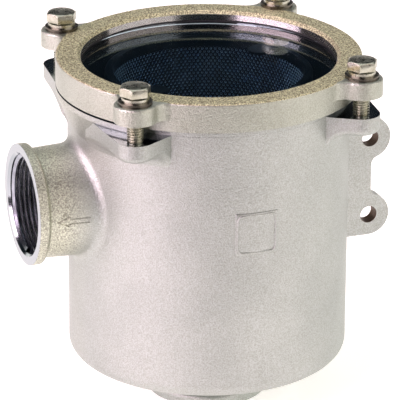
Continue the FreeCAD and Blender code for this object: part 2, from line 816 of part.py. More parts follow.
def spring_washer(number, azimuth):
    """A split washer, closed flat under the bolt's head."""
    ring = turned_piece(f"spring_ring_{number}", [
        ("washer_bore_radius", "washer_top"),
        ("spring_radius", "washer_top"),
        ("spring_radius", "spring_top"),
        ("washer_bore_radius", "spring_top"),
    ])
    slit = doc.addObject("Part::Box", f"spring_slit_{number}")
    bind(slit, "Length", "spring_radius")
    bind(slit, "Width", "spring_slit")
    bind(slit, "Height", "spring_thickness")
    bind(slit, "Placement.Base.y", "-spring_slit / 2")
    bind(slit, "Placement.Base.z", "washer_top")
    item = combine("Part::Cut", f"spring_washer_{number}", ring, slit)
    stand_at_bolt(item, azimuth)
    return item


# ---------------------------------------------------------------- assembly and export
pieces = [housing(), cover_ring(), sight_window(), window_gasket(), window_seal(),
          basket_wall(), basket_floor(), basket_rim()]
pieces += [lifting_tab(number + 1) for number in range(TAB_COUNT)]
for bolt_number, bolt_azimuth in enumerate(bolt_azimuths(), start=1):
    pieces.append(cover_bolt(bolt_number, bolt_azimuth))
    pieces.append(spring_washer(bolt_number, bolt_azimuth))
    pieces.append(plain_washer(bolt_number, bolt_azimuth))
doc.recompute()

failed = [item.Name for item in doc.Objects if {"Invalid", "Error"} & set(item.State)]
if failed:
    raise RuntimeError(f"failed to build: {failed}")
for piece in pieces:
    if piece.Shape.isNull() or not piece.Shape.isValid():
        raise RuntimeError(f"{piece.Label} has no valid shape")
    print(f"{piece.Label}: {len(piece.Shape.Solids)} solid, {piece.Shape.Volume / 1000:.2f} cm3")

os.makedirs("parts", exist_ok=True)
for piece in pieces:
    piece.Shape.exportStep(f"parts/{piece.Label}.step")
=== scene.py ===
"""Looks of the sea water strainer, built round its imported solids.

Metres.  +Z is up, the outlet points along -X, the mounting fin along +X.
"""
import bpy
import json
import math
from mathutils import Matrix, Vector


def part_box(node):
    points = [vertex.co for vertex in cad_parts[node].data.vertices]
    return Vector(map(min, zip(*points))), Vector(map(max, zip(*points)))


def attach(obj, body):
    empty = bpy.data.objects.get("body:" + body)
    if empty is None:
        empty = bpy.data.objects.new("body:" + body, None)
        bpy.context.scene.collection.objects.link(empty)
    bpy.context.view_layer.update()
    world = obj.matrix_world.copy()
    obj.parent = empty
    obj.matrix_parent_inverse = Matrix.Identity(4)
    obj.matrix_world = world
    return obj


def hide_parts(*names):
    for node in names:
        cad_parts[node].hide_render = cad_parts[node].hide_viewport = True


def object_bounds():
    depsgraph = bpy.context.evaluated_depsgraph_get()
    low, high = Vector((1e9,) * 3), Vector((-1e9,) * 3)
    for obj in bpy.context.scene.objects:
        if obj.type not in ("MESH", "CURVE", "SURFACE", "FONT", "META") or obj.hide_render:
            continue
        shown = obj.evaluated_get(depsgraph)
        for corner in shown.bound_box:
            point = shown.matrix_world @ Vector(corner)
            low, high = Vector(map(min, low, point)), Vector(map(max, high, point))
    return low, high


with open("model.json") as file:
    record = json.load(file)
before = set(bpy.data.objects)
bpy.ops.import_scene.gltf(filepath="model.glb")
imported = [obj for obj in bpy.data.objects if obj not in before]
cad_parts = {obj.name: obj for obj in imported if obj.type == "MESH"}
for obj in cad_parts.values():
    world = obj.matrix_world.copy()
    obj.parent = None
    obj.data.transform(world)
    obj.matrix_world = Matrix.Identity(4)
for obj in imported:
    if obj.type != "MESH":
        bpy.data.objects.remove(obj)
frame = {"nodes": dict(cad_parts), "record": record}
nodes = frame["nodes"]
cad_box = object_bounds()
MM = 0.001

# ---------------------------------------------------------------- places, from the frame
mounts = {mount["name"]: mount for mount in frame["record"]["mounts"]}
ring_low, ring_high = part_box("cover_ring")
housing_low, housing_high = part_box("housing")
wall_low, wall_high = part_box("basket_wall")
SCREWS = [node for node in nodes if node.startswith("cover_bolt")]

COVER_TOP = ring_high.z
COVER_UNDERSIDE = ring_low.z
COVER_RADIUS = ring_high.x
LAND = housing_high.z
INLET = Vector(mounts["inlet"]["pos_m"])
OUTLET = Vector(mounts["outlet"]["pos_m"])
OUTLET_MOUTH = housing_low.x
THREAD_MAJOR = mounts["outlet"]["dims"]["r_mm"] * MM
THREAD_LENGTH = mounts["outlet"]["dims"]["length_mm"] * MM
FIN_HOLES = Vector(mounts["bracket_holes"]["pos_m"])
FIN_HOLE_APART = mounts["bracket_holes"]["dims"]["spacing_y_mm"] * MM
FIN_HOLE_RADIUS = mounts["bracket_holes"]["dims"]["hole_r_mm"] * MM

# ---------------------------------------------------------------- sizes that the frame doesn't state
LIP_RADIUS = 61.0 * MM  # the cover's opening
LIP_CHAMFER = 1.8 * MM
CYLINDER_RADIUS = 67.5 * MM  # the housing's outside
CHAMBER_RADIUS = 61.5 * MM
CHAMBER_FLOOR = 24.0 * MM  # above the inlet's mouth
BORE_TURNED = 5.5 * MM  # how far down the chamber is turned bright
LUG_TOP = LAND - 3.0 * MM
BEAD_LENGTH = 6.2 * MM  # the bead round the outlet's mouth
BARREL_RADIUS = 26.2 * MM  # the outlet's barrel at the bead
BARREL_GROWTH = 2.0 * MM  # how much wider it is at BARREL_LENGTH from the mouth
BARREL_LENGTH = 50.0 * MM
LEAD_IN_WIDTH = 1.6 * MM  # the chamfer into the outlet's thread
LEAD_IN_DEPTH = 4.0 * MM
OLIVE_SHADE_FROM = -66.0 * MM  # x, from where the barrel's painted olive shade starts, growing towards the mouth
OLIVE_SHADE_OVER = 20.0 * MM
OLIVE_SHADE_MOST = 0.7

PIPE_PITCH = 2.309 * MM
PIPE_THREAD_DEPTH = 1.45 * MM
SCREW_PITCH = 1.25 * MM
SCREW_THREAD_DEPTH = 0.7 * MM
SHANK_RADIUS = 3.95 * MM
HEAD_FLATS = 13.0 * MM
HEAD_HEIGHT = 5.3 * MM  # above the spring washer
HEAD_RELIEF = 0.9 * MM  # the gap under the hexagon, where the head is narrower
HEAD_CROWN = 0.47 * HEAD_FLATS  # the radius of the flat on top
HEAD_CHAMFER = math.radians(28)

SHEET_RADIUS = wall_high.x - 0.4 * MM
MESH_PITCH = 2.1 * MM  # hole to hole round a row
MESH_ROW = 1.55 * MM  # row to row
MESH_HOLE = 0.68 * MM  # corner reach of a hexagonal hole
MESH_MARGIN = 3.0 * MM  # unpunched, at the top and the foot
PUNCH_DEPTH = 0.35 * MM
PUNCHED = 0.1 * MM  # a face this far behind the sheet belongs to a punched rim
SUNK = 0.05 * MM  # how far an added line or ridge sits in the surface it grows from

NEAR = 0.1 * MM  # how far a finish reaches past the face it belongs to
HAIR = 0.02 * MM  # the same, where another wall passes at that height


# ---------------------------------------------------------------- materials
def linear(hex_colour):
    """sRGB hex to a linear colour with alpha."""
    channels = [int(hex_colour[i:i + 2], 16) / 255 for i in (1, 3, 5)]
    return [c / 12.92 if c <= 0.04045 else ((c + 0.055) / 1.055) ** 2.4 for c in channels] + [1.0]


def add_node(tree, kind, *sources, stops=(), **named):
    """Add a node, with its settings and links.

    Lower-case names are the node's own settings, and stops a colour ramp's places and hex colours.
    Sources fill its inputs in order, and capitalised names those inputs.  A source is a value, a
    socket, or a node, which stands for its first output.
    """
    node = tree.nodes.new(kind)
    for name, setting in named.items():
        if name.islower():
            setattr(node, name, setting)
    if stops:
        for element, (place, colour) in zip(node.color_ramp.elements, stops):
            element.position = place
            element.color = linear(colour)
    inputs = list(zip([socket for socket in node.inputs if socket.enabled], sources))
    inputs += [(node.inputs[name.replace("_", " ")], named[name]) for name in named if not name.islower()]
    for socket, source in inputs:
        if isinstance(source, bpy.types.Node):
            source = next(output for output in source.outputs if output.enabled)
        if isinstance(source, bpy.types.NodeSocket):
            tree.links.new(source, socket)
        else:
            socket.default_value = source
    return node


def new_material(name):
    """An empty material, its node tree and its Object coordinates."""
    material = bpy.data.materials.new(name)
    material.use_nodes = True
    tree = material.node_tree
    tree.nodes.clear()
    return material, tree, add_node(tree, "ShaderNodeTexCoord").outputs["Object"]


def where(tree, *tests):
    """A share that is 1 where every test (value, comparison, limit) holds, else 0."""
    share = 1.0
    for value, comparison, limit in tests:
        test = add_node(tree, "ShaderNodeMath", value, limit, operation=comparison)
        share = add_node(tree, "ShaderNodeMath", share, test, operation="MULTIPLY")
    return share


def distance(tree, across, along):
    """How far a place lies from an axis, from its two offsets."""
    offset = add_node(tree, "ShaderNodeCombineXYZ", across, along)
    return add_node(tree, "ShaderNodeVectorMath", offset, operation="LENGTH")


# Each of these gives the share of the surface that has a finish, from the place on it: x, y, z and
# the reach from the Z axis.
def housing_turned(tree, x, y, z, reach):
    """The housing's turned places: the inlet's face and the top of the chamber's bore."""
    inlet_face = where(tree, (z, "LESS_THAN", NEAR))
    bore = where(tree, (reach, "LESS_THAN", CHAMBER_RADIUS + NEAR), (z, "GREATER_THAN", LAND - BORE_TURNED))
    return add_node(tree, "ShaderNodeMath", inlet_face, bore, operation="MAXIMUM")


def housing_painted_shade(tree, x, y, z, reach):
    """The chamber's skin below the turned bore, and the land under the cover: painted shade, dark where the
    light doesn't reach.
    """
    skin = where(tree, (reach, "LESS_THAN", CHAMBER_RADIUS + NEAR), (z, "GREATER_THAN", CHAMBER_FLOOR),
                 (z, "LESS_THAN", LAND - BORE_TURNED))
    land = where(tree, (z, "GREATER_THAN", LAND - HAIR))
    return add_node(tree, "ShaderNodeMath", skin, land, operation="MAXIMUM")


def barrel_olive_shade(tree, x, y, z, reach):
    """The outlet's barrel, where an olive painted shade grows towards the mouth."""
    fully_shaded = OLIVE_SHADE_FROM - OLIVE_SHADE_OVER
    past = add_node(tree, "ShaderNodeMapRange", x, OLIVE_SHADE_FROM, fully_shaded, 0.0, 1.0)
    return add_node(tree, "ShaderNodeMath", past, OLIVE_SHADE_MOST, operation="MINIMUM")


def housing_milled(tree, x, y, z, reach):
    """The milled places: the tops of the lugs, and the outlet's mouth with its lead-in."""
    lugs = where(tree, (z, "GREATER_THAN", LUG_TOP - HAIR), (z, "LESS_THAN", LUG_TOP + HAIR))
    above = add_node(tree, "ShaderNodeMath", z, OUTLET.z, operation="SUBTRACT")
    lead_in = where(tree, (distance(tree, y, above), "LESS_THAN", THREAD_MAJOR + LEAD_IN_WIDTH),
                    (x, "LESS_THAN", OUTLET_MOUTH + LEAD_IN_DEPTH))
    mouth = where(tree, (x, "LESS_THAN", OUTLET_MOUTH + NEAR))
    outlet = add_node(tree, "ShaderNodeMath", mouth, lead_in, operation="MAXIMUM")
    return add_node(tree, "ShaderNodeMath", lugs, outlet, operation="MAXIMUM")


def housing_drilled(tree, x, y, z, reach):
    """The walls of the two holes in the fin: bare bronze, darkened further by painted shade."""
    across = add_node(tree, "ShaderNodeMath", x, FIN_HOLES.x, operation="SUBTRACT")
    above = add_node(tree, "ShaderNodeMath", z, FIN_HOLES.z, operation="SUBTRACT")
    apart = add_node(tree, "ShaderNodeMath", above, operation="ABSOLUTE")
    along = add_node(tree, "ShaderNodeMath", apart, FIN_HOLE_APART / 2, operation="SUBTRACT")
    return where(tree, (distance(tree, across, along), "LESS_THAN", FIN_HOLE_RADIUS + NEAR))


def cover_turned(tree, x, y, z, reach):
    """The cover's turned opening, chamfer and recess."""
    return where(tree, (reach, "LESS_THAN", LIP_RADIUS + NEAR))


def cover_painted_shade(tree, x, y, z, reach):
    """The cover's underside, which gets painted shade."""
    return where(tree, (z, "LESS_THAN", COVER_UNDERSIDE + HAIR))


def cover_coarse(tree, x, y, z, reach):
    """The cover's coarse flat top."""
    return where(tree, (z, "GREATER_THAN", COVER_TOP - LIP_CHAMFER), (reach, "GREATER_THAN", LIP_RADIUS + NEAR),
                 (reach, "LESS_THAN", COVER_RADIUS - 2 * NEAR))


def cast_nickel(name, tones, gloss, turned, turned_tone, painted_shade, coarse_top=None, thin=None, drilled=None,
                milled=None):
    """Cast bronze, grit-blasted and plated with nickel: a pale, sandy skin with soft reflections.

    tones are the skin's two shades and gloss its roughness.  The rest are functions that give the
    share of the surface with another finish: turned is bright and streaked round Z, dull is
    painted shade in a dark blue-grey, coarse_top is rougher and browner, thin is painted shade in
    an olive tone, drilled is bare bronze darkened by painted shade and milled is like a mirror.
    """
    material, tree, place = new_material(name)
    x, y, z = add_node(tree, "ShaderNodeSeparateXYZ", place).outputs
    reach = distance(tree, x, y)
    # Real blasting leaves pits of about 0.15 mm, too fine to show, so both grains are drawn coarser.
    grain = add_node(tree, "ShaderNodeTexNoise", place, Scale=1 / (0.55 * MM), Detail=1.0, Roughness=0.5)
    coarse = add_node(tree, "ShaderNodeTexNoise", place, Scale=1 / (0.7 * MM), Detail=2.0, Roughness=0.5)
    cloud = add_node(tree, "ShaderNodeTexNoise", place, Scale=1 / (34 * MM), Detail=2.0)
    plate = add_node(tree, "ShaderNodeValToRGB", cloud, stops=[(0.35, tones[0]), (0.65, tones[1])])
    speck = add_node(tree, "ShaderNodeValToRGB", grain, stops=[(0.36, "#b2ae9c"), (0.64, "#ffffff")])
    colour = add_node(tree, "ShaderNodeMix", 0.45, plate, speck, data_type="RGBA", blend_type="MULTIPLY")
    roughness = add_node(tree, "ShaderNodeMix", grain, gloss, gloss + 0.12)
    height = add_node(tree, "ShaderNodeMath", grain, coarse, operation="ADD")
    if coarse_top:
        share = coarse_top(tree, x, y, z, reach)
        brown = add_node(tree, "ShaderNodeValToRGB", coarse, stops=[(0.38, "#8c8469"), (0.62, "#f4f1cc")])
        colour = add_node(tree, "ShaderNodeMix", share, colour, brown, data_type="RGBA")
        roughness = add_node(tree, "ShaderNodeMix", share, roughness, 0.62)
    # Painted shade: the share from thin gets an olive tone on the outlet's barrel.
    if thin:
        share = thin(tree, x, y, z, reach)
        bronze = add_node(tree, "ShaderNodeValToRGB", coarse, stops=[(0.38, "#989780"), (0.62, "#eef2da")])
        colour = add_node(tree, "ShaderNodeMix", share, colour, bronze, data_type="RGBA")
    # Painted shade: the share from dull is darkened to a blue-grey, for places the light doesn't reach.
    share = painted_shade(tree, x, y, z, reach)
    colour = add_node(tree, "ShaderNodeMix", share, colour, linear("#252f3a"), data_type="RGBA")
    roughness = add_node(tree, "ShaderNodeMix", share, roughness, 0.6)
    # The fin holes' walls: bare bronze, darkened further as painted shade.
    if drilled:
        share = drilled(tree, x, y, z, reach)
        colour = add_node(tree, "ShaderNodeMix", share, colour, linear("#5e4634"), data_type="RGBA")
    if milled:
        share = milled(tree, x, y, z, reach)
        colour = add_node(tree, "ShaderNodeMix", share, colour, linear("#a6afb2"), data_type="RGBA")
        roughness = add_node(tree, "ShaderNodeMix", share, roughness, 0.14)
        height = add_node(tree, "ShaderNodeMix", share, height, 0.0)
    depth = 0.9 if coarse_top else 0.8
    bump = add_node(tree, "ShaderNodeBump", Strength=depth, Distance=0.25 * MM, Height=height)
    cast = add_node(tree, "ShaderNodeBsdfPrincipled", Base_Color=colour, Metallic=1.0, Roughness=roughness,
                    Normal=bump)
    along = add_node(tree, "ShaderNodeTangent", direction_type="RADIAL", axis="Z")
    streaked = add_node(tree, "ShaderNodeBsdfPrincipled", Base_Color=linear(turned_tone), Metallic=1.0,
                        Roughness=0.26, Anisotropic=1.0, Anisotropic_Rotation=0.25, Tangent=along)
    shader = add_node(tree, "ShaderNodeMixShader", turned(tree, x, y, z, reach), cast, streaked)
    add_node(tree, "ShaderNodeOutputMaterial", shader)
    return material


def polished_nickel(name, tones):
    """Steel, nickel-plated and barrel-polished: bright, with hazy patches from handling."""
    material, tree, place = new_material(name)
    haze = add_node(tree, "ShaderNodeTexNoise", place, Scale=1 / (3 * MM), Detail=4.0)
    colour = add_node(tree, "ShaderNodeValToRGB", haze, stops=[(0.3, tones[0]), (0.7, tones[1])])
    roughness = add_node(tree, "ShaderNodeMix", haze, 0.14, 0.42)
    bump = add_node(tree, "ShaderNodeBump", Strength=0.12, Distance=0.1 * MM, Height=haze)
    shader = add_node(tree, "ShaderNodeBsdfPrincipled", Base_Color=colour, Metallic=1.0, Roughness=roughness,
                      Normal=bump)
    add_node(tree, "ShaderNodeOutputMaterial", shader)
    return material


def shaded_basket_sheet(name):
    """Rolled stainless sheet, painted nearly black with a blue cast: painted shade for the inside of the pot.
    """
    material, tree, place = new_material(name)
    blotch = add_node(tree, "ShaderNodeTexNoise", place, Scale=1 / (9 * MM), Detail=3.0)
    # Painted shade: dark blue tones for a sheet that lies out of the light inside the pot.
    colour = add_node(tree, "ShaderNodeValToRGB", blotch, stops=[(0.3, "#14202e"), (0.7, "#263646")])
    roughness = add_node(tree, "ShaderNodeMix", blotch, 0.28, 0.42)
    bump = add_node(tree, "ShaderNodeBump", Strength=0.1, Distance=0.1 * MM, Height=blotch)
    shader = add_node(tree, "ShaderNodeBsdfPrincipled", Base_Color=colour, Metallic=1.0, Roughness=roughness,
                      Normal=bump)
    add_node(tree, "ShaderNodeOutputMaterial", shader)
    return material


def punched_edge(name):
    """The rims that the punch turned in: bare bright steel, which catches the light from above."""
    material, tree, place = new_material(name)
    wear = add_node(tree, "ShaderNodeTexNoise", place, Scale=1 / (6 * MM), Detail=2.0)
    colour = add_node(tree, "ShaderNodeValToRGB", wear, stops=[(0.3, "#bfdcf4"), (0.7, "#dcf0ff")])
    shader = add_node(tree, "ShaderNodeBsdfPrincipled", Base_Color=colour, Metallic=1.0, Roughness=0.5)
    add_node(tree, "ShaderNodeOutputMaterial", shader)
    return material


def clear_acrylic(name):
    """Cast acrylic, polished: clear with a faint blue body and sharp reflections, hazed by wiping."""
    material, tree, place = new_material(name)
    wipe = add_node(tree, "ShaderNodeTexNoise", place, Scale=1 / (20 * MM), Detail=5.0)
    roughness = add_node(tree, "ShaderNodeMix", wipe, 0.0, 0.03)
    shader = add_node(tree, "ShaderNodeBsdfPrincipled", Base_Color=linear("#d3e5ee"), Roughness=roughness,
                      IOR=1.49, Transmission_Weight=1.0)
    add_node(tree, "ShaderNodeOutputMaterial", shader)
    return material


def cut_thread(name):
    """Bronze thread, cut after the blasting, its tone darkened to a blue-grey as painted shade of the bore:
    dark flanks and bright crests.
    """
    material, tree, place = new_material(name)
    mottle = add_node(tree, "ShaderNodeTexNoise", place, Scale=1 / (4 * MM), Detail=3.0)
    # Painted shade: darker blue-grey tones for the shaded bores.
    colour = add_node(tree, "ShaderNodeValToRGB", mottle, stops=[(0.3, "#84888f"), (0.7, "#aab0b8")])
    roughness = add_node(tree, "ShaderNodeMix", mottle, 0.15, 0.28)
    bump = add_node(tree, "ShaderNodeBump", Strength=0.15, Distance=0.1 * MM, Height=mottle)
    shader = add_node(tree, "ShaderNodeBsdfPrincipled", Base_Color=colour, Metallic=1.0, Roughness=roughness,
                      Normal=bump)
    add_node(tree, "ShaderNodeOutputMaterial", shader)
    return material


def nitrile_rubber(name):
    """Moulded black nitrile: matt, with a faint grain."""
    material, tree, place = new_material(name)
    grain = add_node(tree, "ShaderNodeTexNoise", place, Scale=1 / (0.6 * MM), Detail=3.0)
    colour = add_node(tree, "ShaderNodeValToRGB", grain, stops=[(0.3, "#101112"), (0.7, "#1d1f21")])
    bump = add_node(tree, "ShaderNodeBump", Strength=0.2, Distance=0.1 * MM, Height=grain)
    shader = add_node(tree, "ShaderNodeBsdfPrincipled", Base_Color=colour, Roughness=0.55, Normal=bump)
    add_node(tree, "ShaderNodeOutputMaterial", shader)
    return material


def pale_paper(name):
    """Uncoated white paper on a light table: even and nearly shadowless."""
    material, tree, place = new_material(name)
    tone = add_node(tree, "ShaderNodeTexNoise", place, Scale=1 / (330 * MM))
    colour = add_node(tree, "ShaderNodeValToRGB", tone, stops=[(0.3, "#f4f3f1"), (0.7, "#f8f7f5")])
    shader = add_node(tree, "ShaderNodeBsdfPrincipled", Base_Color=colour, Roughness=0.8,
                      Emission_Color=linear("#fffdf6"), Emission_Strength=0.55)
    add_node(tree, "ShaderNodeOutputMaterial", shader)
    return material


# ---------------------------------------------------------------- modelling helpers
def clear_selection():
    """Back to object mode, with nothing selected."""
    if bpy.context.object and bpy.context.object.mode != "OBJECT":
        bpy.ops.object.mode_set(mode="OBJECT")
    bpy.ops.object.select_all(action="DESELECT")


def take(piece):
    """Make a piece the only one selected, and active."""
    clear_selection()
    piece.select_set(True)
    bpy.context.view_layer.objects.active = piece


def started(name):
    """Name the primitive that was just added."""
    piece = bpy.context.object
    piece.name = name
    piece.data.name = name
    return piece


def settle(piece):
    """Put a piece's place into its mesh."""
    take(piece)
    bpy.ops.object.transform_apply(location=True, rotation=True, scale=True)


def modify(piece, kind, **settings):
    """Add a modifier and apply it."""
    take(piece)
    modifier = piece.modifiers.new(kind.title(), kind)
    for name, setting in settings.items():
        setattr(modifier, name, setting)
    bpy.ops.object.modifier_apply(modifier=modifier.name)


def outward(piece, inside=False):
    """Make the faces point outwards, or inwards for the skin of a hole."""
    take(piece)
    bpy.ops.object.mode_set(mode="EDIT")
    bpy.ops.mesh.select_all(action="SELECT")
    bpy.ops.mesh.remove_doubles(threshold=1e-6)
    bpy.ops.mesh.normals_make_consistent(inside=inside)
    bpy.ops.object.mode_set(mode="OBJECT")


def joined(name, pieces):
    """One piece made of several."""
    clear_selection()
    for piece in pieces:
        piece.select_set(True)
    bpy.context.view_layer.objects.active = pieces[0]
    bpy.ops.object.join()
    return started(name)


def dress(piece, material, slot, *replaced):
    """Give a finished piece its material and its body, and hide the solids it stands for; slot is not used."""
    piece.data.materials.clear()
    piece.data.materials.append(material)
    take(piece)
    bpy.ops.object.shade_smooth_by_angle(angle=math.radians(32))
    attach(piece, "root")
    if replaced:
        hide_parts(*replaced)


def screw_thread(name, root, crest, pitch, length, segments):
    """A helical ridge about +Z from z = 0: one ridge's outline, swept by the screw modifier."""
    flat = 0.12 * pitch
    outline = [(root, 0, 0), (crest, 0, (pitch - flat) / 2), (crest, 0, (pitch + flat) / 2), (root, 0, pitch)]
    mesh = bpy.data.meshes.new(name)
    mesh.from_pydata(outline, [(0, 1), (1, 2), (2, 3)], [])
    piece = bpy.data.objects.new(name, mesh)
    bpy.context.collection.objects.link(piece)
    turns = int(length / pitch) - 1
    modify(piece, "SCREW", axis="Z", angle=math.tau, screw_offset=pitch, iterations=turns,
           steps=segments, render_steps=segments, use_merge_vertices=True, merge_threshold=1e-6)
    return piece


# ---------------------------------------------------------------- pieces
def pipe_thread(name, start, turn):
    """The female pipe thread in one port, its root sunk in the bore; turn takes +Z into the bore."""
    ridge = screw_thread(name, THREAD_MAJOR + SUNK, THREAD_MAJOR - PIPE_THREAD_DEPTH,
                         PIPE_PITCH, THREAD_LENGTH, 72)
    outward(ridge, inside=True)
    ridge.rotation_euler = turn
    ridge.location = start
    settle(ridge)
    return ridge


def hex_screw(name, node):
    """A hexagon screw with a chamfered head, relieved beneath, and a rolled thread."""
    low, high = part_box(node)
    centre = (low + high) / 2
    seat = high.z - HEAD_HEIGHT
    clear_selection()
    thickness = HEAD_HEIGHT - HEAD_RELIEF
    bpy.ops.mesh.primitive_cylinder_add(vertices=6, radius=HEAD_FLATS / math.sqrt(3), depth=thickness,
                                        location=(0, 0, high.z - thickness / 2),
                                        rotation=(0, 0, math.radians(30)))
    head = started(name)
    settle(head)
    drop = 1.2 * HEAD_HEIGHT
    bpy.ops.mesh.primitive_cone_add(vertices=96, radius1=HEAD_CROWN + drop / math.tan(HEAD_CHAMFER),
                                    radius2=HEAD_CROWN, depth=drop, location=(0, 0, high.z - drop / 2))
    cone = started(f"{name}_cone")
    settle(cone)
    modify(head, "BOOLEAN", operation="INTERSECT", object=cone, solver="EXACT")
    bpy.data.objects.remove(cone)
    modify(head, "BEVEL", width=0.12 * MM, segments=2, limit_method="ANGLE", angle_limit=math.radians(25))
    thread = screw_thread(f"{name}_thread", SHANK_RADIUS - SCREW_THREAD_DEPTH, SHANK_RADIUS,
                          SCREW_PITCH, seat - low.z, 36)
    thread.location.z = low.z + SCREW_PITCH / 2
    settle(thread)
    outward(thread)
    core_top = seat + HEAD_RELIEF + 0.5 * MM
    core_radius = SHANK_RADIUS - 0.95 * SCREW_THREAD_DEPTH
    clear_selection()
    bpy.ops.mesh.primitive_cylinder_add(vertices=36, radius=core_radius, depth=core_top - low.z,
                                        location=(0, 0, (low.z + core_top) / 2))
    core = started(f"{name}_core")
    settle(core)
    modify(core, "BEVEL", width=0.3 * MM, segments=1, limit_method="ANGLE")
    piece = joined(name, [head, thread, core])
    piece.location = (centre.x, centre.y, 0)
    settle(piece)
    return piece


def punched_cell(name, across, rise, hole):
    """One upright hexagonal cell of a staggered sheet in X and Z, round its hexagonal hole.

    It is shaped as a regular hexagon, whose rows are 1.5 times its corner's reach apart, and is
    stretched to the rise from row to row at the end.  The hole keeps its shape through that.
    """
    corner = across / math.sqrt(3)
    stretch = rise / (1.5 * corner)
    shrink = hole / corner
    clear_selection()
    bpy.ops.mesh.primitive_circle_add(vertices=6, radius=corner, rotation=(math.radians(90), 0, 0))
    cell = started(name)
    settle(cell)
    bpy.ops.object.mode_set(mode="EDIT")
    bpy.ops.mesh.select_all(action="SELECT")
    bpy.ops.mesh.extrude_edges_move()
    bpy.ops.transform.resize(value=(shrink, shrink, shrink / stretch), center_override=(0, 0, 0))
    bpy.ops.mesh.extrude_edges_move(TRANSFORM_OT_translate={"value": (0, PUNCH_DEPTH, 0)})
    bpy.ops.transform.resize(value=(0.6, 1, 0.6), center_override=(0, 0, 0))
    bpy.ops.mesh.select_all(action="SELECT")
    bpy.ops.transform.resize(value=(1, 1, stretch), center_override=(0, 0, 0))
    bpy.ops.object.mode_set(mode="OBJECT")
    return cell


def basket_mesh(name, half):
    """Half of the perforated wall: a flat staggered sheet, bent round; the second has the plain bands."""
    columns = 2 * round(math.pi * SHEET_RADIUS / MESH_PITCH / 2)
    across = math.pi * SHEET_RADIUS / columns
    rows = 2 * int((wall_high.z - wall_low.z - 2 * MESH_MARGIN) / MESH_ROW / 2)
    sheet = punched_cell(name, across, MESH_ROW, MESH_HOLE)
    shifts = [(2, (across / 2, 0, MESH_ROW)), (rows // 2, (0, 0, 2 * MESH_ROW)), (columns, (across, 0, 0))]
    for count, shift in shifts:
        modify(sheet, "ARRAY", count=count, use_relative_offset=False, use_constant_offset=True,
               constant_offset_displace=shift, use_merge_vertices=True, merge_threshold=1e-6)
    take(sheet)
    lift = (wall_low.z + wall_high.z - (rows - 1) * MESH_ROW) / 2
    for vertex in sheet.data.vertices:
        turn = vertex.co.x / SHEET_RADIUS + math.pi * half
        reach = SHEET_RADIUS + vertex.co.y
        vertex.co = (reach * math.sin(turn), -reach * math.cos(turn), vertex.co.z + lift)
    outward(sheet)
    low = min(vertex.co.z for vertex in sheet.data.vertices)
    high = max(vertex.co.z for vertex in sheet.data.vertices)
    pieces = [sheet]
    if half:
        pieces.append(plain_band(f"{name}_foot", wall_low.z, low + MESH_ROW))
        pieces.append(plain_band(f"{name}_head", high - MESH_ROW, wall_high.z))
    return joined(name, pieces)


def plain_band(name, low, high):
    """An unpunched band of the basket's sheet."""
    clear_selection()
    bpy.ops.mesh.primitive_cylinder_add(vertices=220, radius=SHEET_RADIUS, depth=high - low,
                                        end_fill_type="NOTHING", location=(0, 0, (low + high) / 2))
    band = started(name)
    settle(band)
    return band


def barrel_point(along, around, proud):
    """A point on the outlet's barrel: along from the mouth, around from its -Y side, up positive."""
    share = (along - BEAD_LENGTH) / (BARREL_LENGTH - BEAD_LENGTH)
    radius = BARREL_RADIUS + BARREL_GROWTH * share + proud
    return (OUTLET_MOUTH + along, -radius * math.cos(around), OUTLET.z + radius * math.sin(around))


def cylinder_point(azimuth, height, proud):
    """A point on the housing's cylinder."""
    radius = CYLINDER_RADIUS + proud
    return (radius * math.cos(azimuth), radius * math.sin(azimuth), height)


def cast_bead(name, points, width):
    """A raised cast line: a closed rod along points, half sunk in the surface."""
    clear_selection()
    curve = bpy.data.curves.new(name, "CURVE")
    curve.dimensions = "3D"
    spline = curve.splines.new("POLY")
    spline.points.add(len(points) - 1)
    for point, place in zip(spline.points, points):
        point.co = (*place, 1)
    spline.use_cyclic_u = True
    curve.bevel_depth = width / 2
    curve.bevel_resolution = 3
    piece = bpy.data.objects.new(name, curve)
    bpy.context.collection.objects.link(piece)
    take(piece)
    bpy.ops.object.convert(target="MESH")
    return started(name)


def flow_arrow(name):
    """The cast outline arrow on the barrel, pointing out of the outlet."""
    tail, neck, tip = 25.0 * MM, 15.0 * MM, 9.5 * MM
    thin, wide = 1.1 * MM, 2.4 * MM
    middle = math.radians(-2)
    outline = [(tail, thin), (neck, thin), (neck, wide), (tip, 0), (neck, -wide), (neck, -thin), (tail, -thin)]
    points = []
    parts = 6
    for (along, side), (next_along, next_side) in zip(outline, outline[1:] + outline[:1]):
        for step in range(parts):
            share = step / parts
            here = along + (next_along - along) * share
            lift = side + (next_side - side) * share
            points.append(barrel_point(here, middle + lift / BARREL_RADIUS, SUNK))
    return cast_bead(name, points, 0.9 * MM)


def rounded_square(half, corner, steps_per_corner=8):
    """Points of a rounded square, anticlockwise."""
    points = []
    for quarter in range(4):
        start = math.pi / 2 * quarter
        diagonal = Vector((math.cos(start + math.pi / 4), math.sin(start + math.pi / 4))) * math.sqrt(2)
        for step in range(steps_per_corner + 1):
            angle = start + math.pi / 2 * step / steps_per_corner
            points.append(diagonal * (half - corner) + Vector((math.cos(angle), math.sin(angle))) * corner)
    return points


